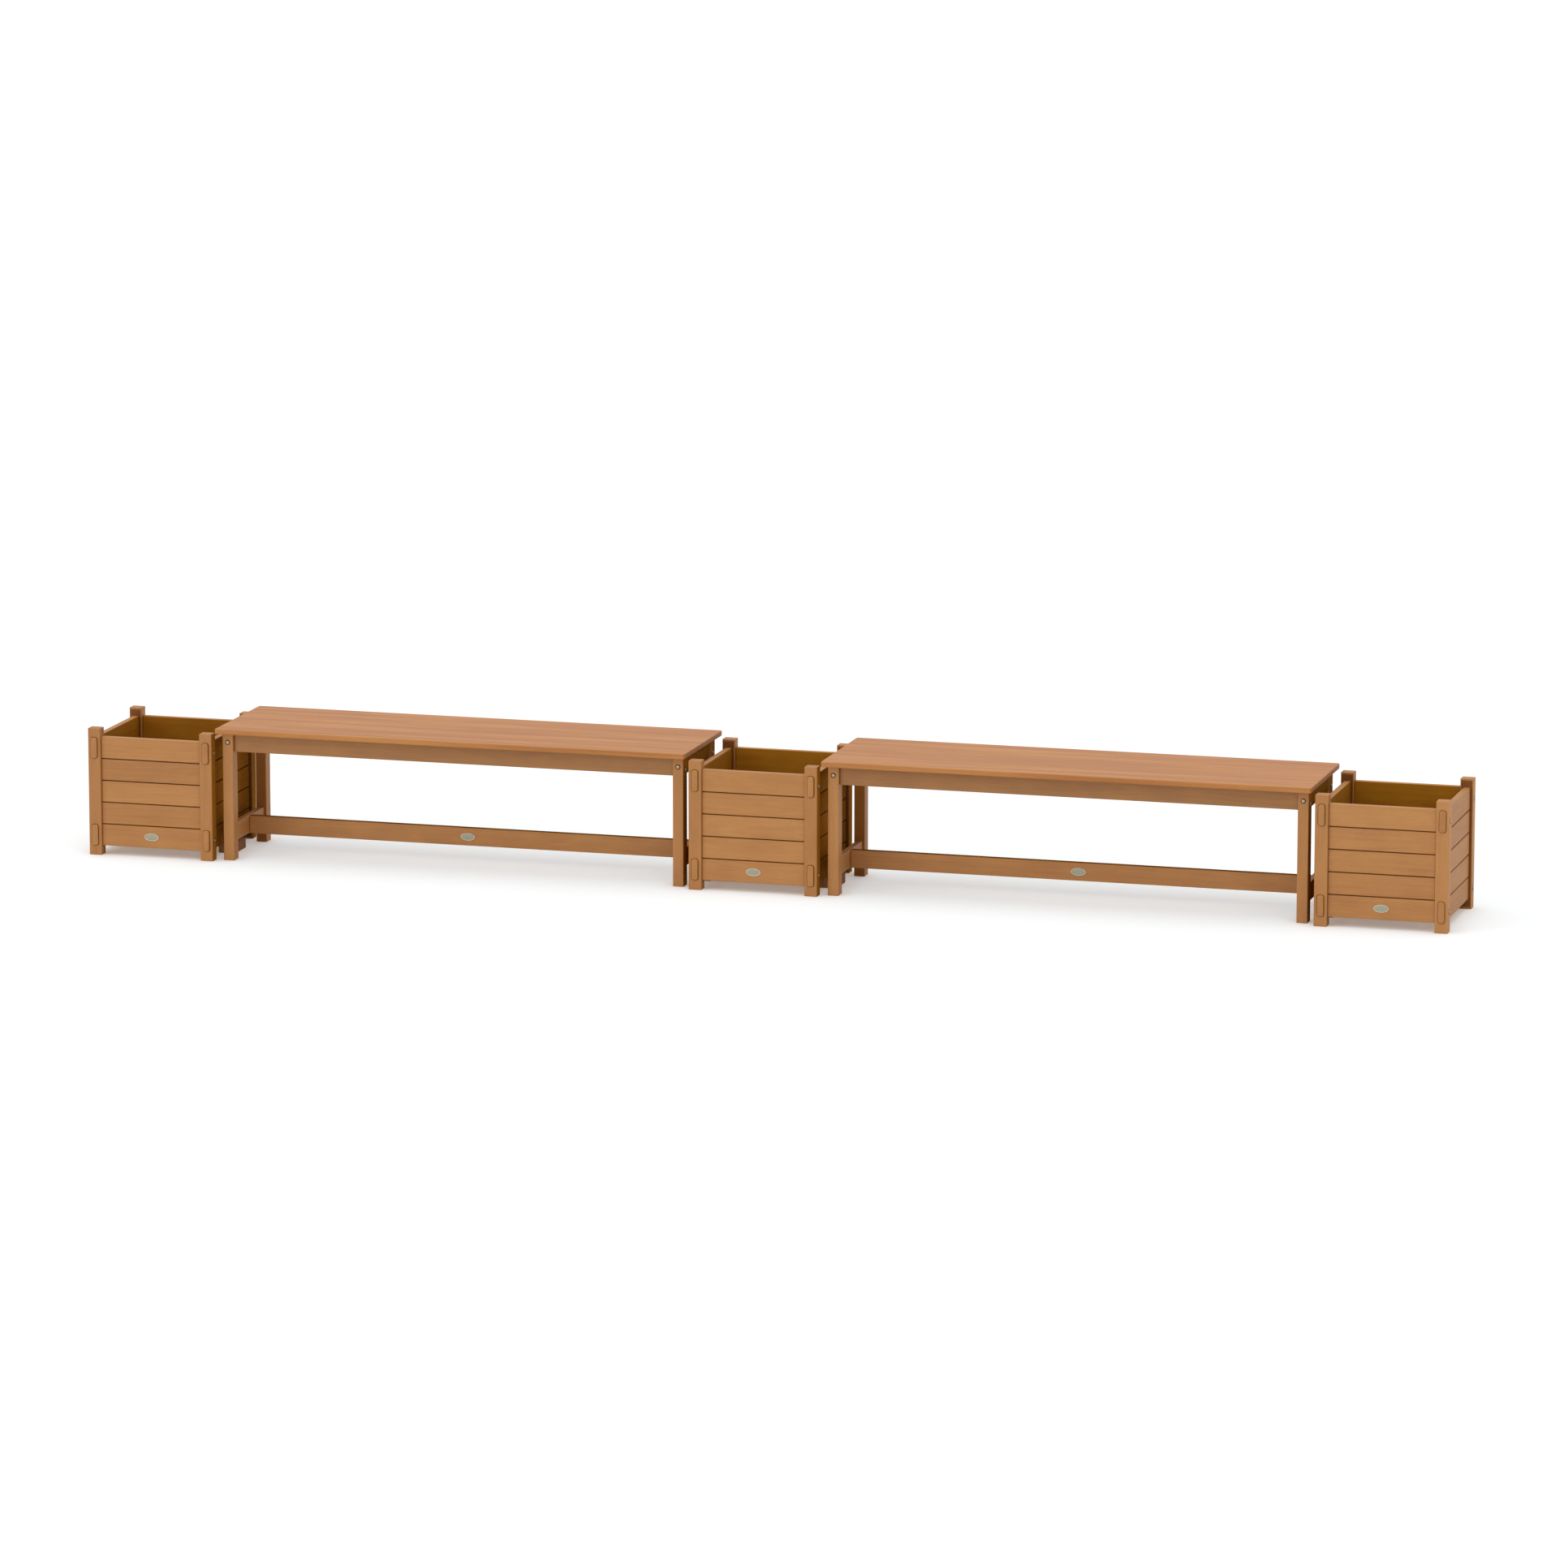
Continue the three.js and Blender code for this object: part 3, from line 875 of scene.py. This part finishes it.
def build_floor(planter):
    """The board that the soil stands on, cut out for the posts and drilled."""
    name = f"{planter}_floor_panel"
    low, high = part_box(name)
    cutters = []
    for end in ("front", "rear"):
        for side in ("left", "right"):
            post_low, post_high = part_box(f"{planter}_post_{end}_{side}")
            grown = Vector((2 * JOINT, 2 * JOINT, 0))
            notch = bmesh.new()
            bmesh.ops.create_cube(notch, size=1)
            size = post_high - post_low + 2 * grown
            place = Matrix.LocRotScale((post_low + post_high) / 2, None, size)
            bmesh.ops.transform(notch, matrix=place, verts=notch.verts)
            cutters.append(notch)
    centre, half = (low + high) / 2, (high - low) / 2
    for share_x, share_y in DRAIN_PLACE_SHARES:
        place = (centre.x + share_x * half.x, centre.y + share_y * half.y, centre.z)
        cutters.append(hole(place, 2, DRAIN_RADIUS, high.z - low.z))
    panel = lay_grain(carve(eased_bar(low, high, JOINT), cutters), "x", name)
    piece(name, panel, [floor_wood])


# Benches


def stub(low, high, along):
    """A stub tenon's box: thin across, and lower than its board by a shoulder above and below."""
    bar_low, bar_high = Vector(low), Vector(high)
    across = 1 if along == "x" else 0
    centre = (low[across] + high[across]) / 2
    bar_low[across] = centre - STUB_THICKNESS / 2
    bar_high[across] = centre + STUB_THICKNESS / 2
    bar_low.z += STUB_SHOULDER
    bar_high.z -= STUB_SHOULDER
    return eased_bar(bar_low, bar_high, JOINT)


def build_leg(bench, end, side):
    """A leg with a mortise for its stretcher's stub tenon and the holes for its bolts."""
    name = f"{bench}_leg_{end}_{side}"
    low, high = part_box(name)
    centre = (low + high) / 2
    face = low.y if end == "front" else high.y
    outer = low.x if side == "left" else high.x
    level = middle(f"{bench}_{end}_apron").z
    end_level = level - END_BOLT_DROP
    stretcher_low, stretcher_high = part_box(f"{bench}_{side}_stretcher")
    grown = Vector((JOINT, JOINT, JOINT))
    cutters = [
        stub(stretcher_low - grown, stretcher_high + grown, "y"),
        hole((centre.x, face, level), 1, BOLT_HOLE_RADIUS, BOLT_HOLE_DEPTH),
        hole((outer, centre.y, end_level), 0, BOLT_HOLE_RADIUS, BOLT_HOLE_DEPTH),
    ]
    bolt_places.append(((centre.x, face, level), (0, face - centre.y, 0)))
    bolt_places.append(((outer, centre.y, end_level), (outer - centre.x, 0, 0)))
    leg = lay_grain(carve(eased_bar(low, high, POST_ARRIS), cutters), "z", name)
    piece(name, leg, [post_wood])


def build_rail(name, along, wood, shoulders=None):
    """An apron, a stretcher or a link board. With shoulders, it has stub tenons beyond them."""
    low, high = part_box(name)
    axis = AXES[along]
    parts = []
    if shoulders:
        parts.append(stub(low, high, along))
        low, high = Vector(low), Vector(high)
        low[axis], high[axis] = shoulders
    bar = mark_run(eased_bar(low, high, BOARD_ARRIS), axis, low[axis], high[axis])
    if name.endswith("long_stretcher"):
        bar = mark_top(bar, high.z)
    rail = lay_grain(joined(parts + [bar]), along, name)
    piece(name, rail, [wood])


def build_seat(bench):
    """The seat, one wide slab with round corners and eased edges."""
    name = f"{bench}_seat"
    low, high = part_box(name)
    centre, size = (low + high) / 2, high - low
    sections = []
    edge = list(rounding(SEAT_ARRIS))
    for drawn_in, z in [(i, low.z + s) for i, s in edge[::-1]] + [(i, high.z - s) for i, s in edge]:
        outline = pill(size.x - 2 * drawn_in, size.y - 2 * drawn_in, SEAT_CORNER - drawn_in)
        sections.append([Vector((centre.x + px, centre.y + py, z)) for px, py in outline])
    slab = lay_grain(loft(sections), "x", name)
    piece(name, slab, [seat_wood])


def build_bench(bench):
    """A bench's legs, aprons, stretchers and seat."""
    for end in ("front", "rear"):
        for side in ("left", "right"):
            build_leg(bench, end, side)
        build_rail(f"{bench}_{end}_apron", "x", apron_wood)
    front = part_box(f"{bench}_leg_front_left")[1].y + JOINT
    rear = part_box(f"{bench}_leg_rear_left")[0].y - JOINT
    for side in ("left", "right"):
        build_rail(f"{bench}_{side}_apron", "y", apron_wood)
        build_rail(f"{bench}_{side}_stretcher", "y", frame_wood, (front, rear))
    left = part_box(f"{bench}_left_stretcher")[1].x + JOINT
    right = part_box(f"{bench}_right_stretcher")[0].x - JOINT
    build_rail(f"{bench}_long_stretcher", "x", frame_wood, (left, right))
    build_seat(bench)


# Plates and bolts


def build_plate(name):
    """An oval plate with a raised rim round a bare, sunk and slightly crowned field."""
    low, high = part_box(name)
    centre, size = (low + high) / 2, high - low
    sections = []
    for drawn_in, rise in PLATE_PROFILE:
        section = []
        for step in range(OVAL_STEPS):
            angle = step / OVAL_STEPS * math.tau
            x = centre.x + (size.x / 2 - drawn_in) * math.cos(angle)
            z = centre.z + (size.z / 2 - drawn_in) * math.sin(angle)
            section.append(Vector((x, high.y - rise, z)))
        sections.append(section)
    plate = loft(sections)
    for face in plate.faces:
        lowest = min(high.y - vert.co.y for vert in face.verts)
        face.material_index = int(FIELD_LEAST < lowest < FIELD_MOST)
    piece(name, plate, [rim_metal, field_metal])


def bolt_head():
    """A domed head one unit across with a six-sided socket, on its shank, its axis along Z."""
    rows = [disc((0, 0, z), 2, radius, TURNED_STEPS) for radius, z in HEAD_PROFILE]
    for z in (SOCKET_RIM, SOCKET_FLOOR):
        socket = []
        for step in range(TURNED_STEPS):
            angle = step / TURNED_STEPS * math.tau
            from_flat = (angle % (math.pi / 3)) - math.pi / 6
            reach = SOCKET_RADIUS * math.cos(math.pi / 6) / math.cos(from_flat)
            socket.append(Vector((reach * math.cos(angle), reach * math.sin(angle), z)))
        rows.append(socket)
    return with_even_shading("bolt head", loft(rows))


def bolt_washer():
    """A flat washer one unit across with a rounded rim, its axis along Z."""
    thickness = WASHER_THICKNESS / WASHER_WIDTH
    sections = [
        (0.3, 0.0),
        (0.49, 0.0),
        (0.5, thickness * 0.2),
        (0.5, thickness * 0.6),
        (0.485, thickness),
        (0.3, thickness),
    ]
    return with_even_shading("bolt washer", turned(sections))


def bolt_tree():
    """Sets a washer and a head on every point, turned to its facing, the socket at any angle."""
    tree = bpy.data.node_groups.new("bolts on points", "GeometryNodeTree")
    sockets = {}
    for name, kind in (
        ("Points", "NodeSocketGeometry"),
        ("Head", "NodeSocketObject"),
        ("Head width", "NodeSocketFloat"),
        ("Head steel", "NodeSocketMaterial"),
        ("Washer", "NodeSocketObject"),
        ("Washer width", "NodeSocketFloat"),
        ("Washer steel", "NodeSocketMaterial"),
        ("Washer thickness", "NodeSocketFloat"),
        ("Seed", "NodeSocketInt"),
    ):
        sockets[name] = tree.interface.new_socket(name, in_out="INPUT", socket_type=kind).identifier
    tree.interface.new_socket("Bolts", in_out="OUTPUT", socket_type="NodeSocketGeometry")
    nodes, link = tree.nodes, tree.links.new
    given = nodes.new("NodeGroupInput").outputs
    result = nodes.new("NodeGroupOutput")
    facing = nodes.new("GeometryNodeInputNamedAttribute")
    facing.data_type = "FLOAT_VECTOR"
    facing.inputs["Name"].default_value = "facing"
    outward = nodes.new("FunctionNodeAlignRotationToVector")
    outward.axis = "Z"
    spin = nodes.new("FunctionNodeRandomValue")
    spin.data_type = "FLOAT"
    spin.inputs[3].default_value = math.tau  # the most that it may turn
    about = nodes.new("FunctionNodeAxisAngleToRotation")
    about.inputs["Axis"].default_value = (0, 0, 1)
    spun = nodes.new("FunctionNodeRotateRotation")
    spun.rotation_space = "LOCAL"
    raised = nodes.new("ShaderNodeVectorMath")
    raised.operation = "SCALE"
    lifted = nodes.new("GeometryNodeSetPosition")
    whole = nodes.new("GeometryNodeJoinGeometry")
    link(facing.outputs[0], outward.inputs["Vector"])
    link(given["Seed"], spin.inputs["Seed"])
    link(spin.outputs[1], about.inputs["Angle"])
    link(outward.outputs[0], spun.inputs[0])
    link(about.outputs[0], spun.inputs[1])
    link(facing.outputs[0], raised.inputs[0])
    link(given["Washer thickness"], raised.inputs["Scale"])
    link(given["Points"], lifted.inputs["Geometry"])
    link(raised.outputs[0], lifted.inputs["Offset"])
    for part, places in (("Washer", given["Points"]), ("Head", lifted.outputs[0])):
        source = nodes.new("GeometryNodeObjectInfo")
        copies = nodes.new("GeometryNodeInstanceOnPoints")
        realized = nodes.new("GeometryNodeRealizeInstances")
        finished = nodes.new("GeometryNodeSetMaterial")
        link(given[part], source.inputs["Object"])
        link(places, copies.inputs["Points"])
        link(source.outputs["Geometry"], copies.inputs["Instance"])
        link(spun.outputs[0], copies.inputs["Rotation"])
        link(given[f"{part} width"], copies.inputs["Scale"])
        link(copies.outputs[0], realized.inputs[0])
        link(realized.outputs[0], finished.inputs["Geometry"])
        link(given[f"{part} steel"], finished.inputs["Material"])
        link(finished.outputs[0], whole.inputs[0])
    link(whole.outputs[0], result.inputs[0])
    return tree, sockets


def build_bolts():
    """All 40 bolts with their washers, as one piece."""
    points = bmesh.new()
    facing = points.verts.layers.float_vector.new("facing")
    for place, direction in bolt_places:
        vert = points.verts.new(place)
        vert[facing] = Vector(direction).normalized()
    bolts = object_of("bolts", points)
    head, washer = bolt_head(), bolt_washer()
    tree, sockets = bolt_tree()
    spread = bolts.modifiers.new("bolts on points", "NODES")
    spread.node_group = tree
    for name, value in (
        ("Head", head),
        ("Head width", BOLT_WIDTH),
        ("Head steel", bolt_steel),
        ("Washer", washer),
        ("Washer width", WASHER_WIDTH),
        ("Washer steel", washer_steel),
        ("Washer thickness", WASHER_THICKNESS),
        ("Seed", BOLT_SEED),
    ):
        spread[sockets[name]] = value
    settle(bolts)
    bpy.data.objects.remove(head)
    bpy.data.objects.remove(washer)
    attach(bolts, "root")


for planter in PLANTERS:
    for end in ("front", "rear"):
        build_long_panel(planter, end)
        for side in ("left", "right"):
            build_post(planter, end, side)
    for side in ("left", "right"):
        build_side_panel(planter, side)
    build_floor(planter)
for bench in BENCHES:
    build_bench(bench)
for name in LINK_BOARDS:
    build_rail(name, "x", frame_wood)
for unit in PLANTERS + BENCHES:
    build_plate(f"{unit}_plate")
build_bolts()


# Studio

FLOOR_REACH = 200
FLOOR_BOUNCE = (0.88, 0.88, 0.88)  # what lights the row from below
FLOOR_SEEN = (0.6, 0.6, 0.6)  # what the camera sees, and the shadow on it
FLOOR_LIFT = 0.457  # makes that white in the open
CONTACT_REACH = 0.08  # the floor's glow is painted darker and warmer, as contact shade and warm bounce, where something stands closer above it than this
FLOOR_OPEN = (0.92, 0.983, 1.0)  # cool, against the warm light that the wood sends down
FLOOR_PAINTED_CONTACT_SHADE = (0.6, 0.38, 0.25)
SKY_LIGHT = 0.76
LAMP_WIDTH = math.radians(40)

LENS = 183.06  # in millimetres, before a sensor 36 wide
SENSOR_WIDTH = 36
NEAREST_SEEN, FARTHEST_SEEN = 1, 500
CAMERA_PLACE = (7.144, -25.082, 5.406)
CAMERA_HEADING = 0.2758  # turned to the left of straight at the row
CAMERA_DIP = 0.19232  # below level
CAMERA_ROLL = 0.0008


def build_studio_floor():
    """A plain white floor that keeps the row's shadow, with painted contact shade where something
    stands close above it.
    """
    sheet = bmesh.new()
    bmesh.ops.create_grid(sheet, x_segments=1, y_segments=1, size=FLOOR_REACH)
    floor = object_of("studio_floor", sheet)
    material = bpy.data.materials.new("studio white")
    material.use_nodes = True
    nodes = material.node_tree.nodes
    link = material.node_tree.links.new
    nodes.remove(nodes["Principled BSDF"])
    path = nodes.new("ShaderNodeLightPath")
    matt = nodes.new("ShaderNodeBsdfDiffuse")
    matt.inputs["Color"].default_value = (*FLOOR_BOUNCE, 1)
    seen = nodes.new("ShaderNodeBsdfDiffuse")
    seen.inputs["Color"].default_value = (*FLOOR_SEEN, 1)
    lift = nodes.new("ShaderNodeEmission")
    lift.inputs["Strength"].default_value = FLOOR_LIFT
    # Painted contact shade: the glow turns a darker warm brown where something stands close above the
    # floor
    openness = nodes.new("ShaderNodeAmbientOcclusion")
    openness.inputs["Distance"].default_value = CONTACT_REACH
    painted_contact_shade = nodes.new("ShaderNodeMix")
    painted_contact_shade.data_type = "RGBA"
    painted_contact_shade.inputs[6].default_value = (*FLOOR_PAINTED_CONTACT_SHADE, 1)
    painted_contact_shade.inputs[7].default_value = (*FLOOR_OPEN, 1)
    link(openness.outputs["AO"], painted_contact_shade.inputs[0])
    link(painted_contact_shade.outputs[2], lift.inputs["Color"])
    both = nodes.new("ShaderNodeAddShader")
    either = nodes.new("ShaderNodeMixShader")
    link(seen.outputs[0], both.inputs[0])
    link(lift.outputs[0], both.inputs[1])
    link(path.outputs["Is Camera Ray"], either.inputs[0])
    link(matt.outputs[0], either.inputs[1])
    link(both.outputs[0], either.inputs[2])
    link(either.outputs[0], nodes["Material Output"].inputs["Surface"])
    floor.data.materials.append(material)


def build_world():
    """A faint light from all round, and plain white where the camera or a shiny part sees it."""
    world = bpy.data.worlds.new("studio")
    bpy.context.scene.world = world
    world.use_nodes = True
    nodes = world.node_tree.nodes
    link = world.node_tree.links.new
    soft = nodes["Background"]
    soft.inputs["Color"].default_value = (1, 1, 1, 1)
    soft.inputs["Strength"].default_value = SKY_LIGHT
    white = nodes.new("ShaderNodeBackground")
    white.inputs["Color"].default_value = (1, 1, 1, 1)
    path = nodes.new("ShaderNodeLightPath")
    shown = nodes.new("ShaderNodeMath")
    shown.operation = "MAXIMUM"
    mix = nodes.new("ShaderNodeMixShader")
    link(path.outputs["Is Camera Ray"], shown.inputs[0])
    link(path.outputs["Is Glossy Ray"], shown.inputs[1])
    link(shown.outputs[0], mix.inputs[0])
    link(soft.outputs[0], mix.inputs[1])
    link(white.outputs[0], mix.inputs[2])
    link(mix.outputs[0], nodes["World Output"].inputs["Surface"])


def build_lamp(name, strength, turn, height):
    """A far, wide lamp. Turn counts from the row's front towards its left, both in degrees."""
    data = bpy.data.lights.new(name, "SUN")
    data.energy = strength
    data.angle = LAMP_WIDTH
    lamp = bpy.data.objects.new(name, data)
    lamp.rotation_euler = (math.radians(90 - height), 0, -math.radians(turn))
    bpy.context.scene.collection.objects.link(lamp)


def build_camera():
    """The place that the row is looked at from, in front of its right end and far off."""
    data = bpy.data.cameras.new("camera")
    data.sensor_width = SENSOR_WIDTH
    data.lens = LENS
    data.clip_start = NEAREST_SEEN
    data.clip_end = FARTHEST_SEEN
    camera = bpy.data.objects.new("camera", data)
    camera.location = CAMERA_PLACE
    heading = Matrix.Rotation(CAMERA_HEADING, 3, "Z")
    tilt = Matrix.Rotation(math.pi / 2 - CAMERA_DIP, 3, "X")
    roll = Matrix.Rotation(CAMERA_ROLL, 3, "Z")
    camera.rotation_euler = (heading @ tilt @ roll).to_euler()
    bpy.context.scene.collection.objects.link(camera)
    bpy.context.scene.camera = camera


build_studio_floor()
build_world()
build_lamp("top lamp", 0.6, 0, 88)
build_lamp("left front lamp", 0.62, 50, 20)
build_lamp("right front lamp", 0.26, -40, 45)
build_camera()
bpy.context.scene.view_settings.view_transform = "Standard"
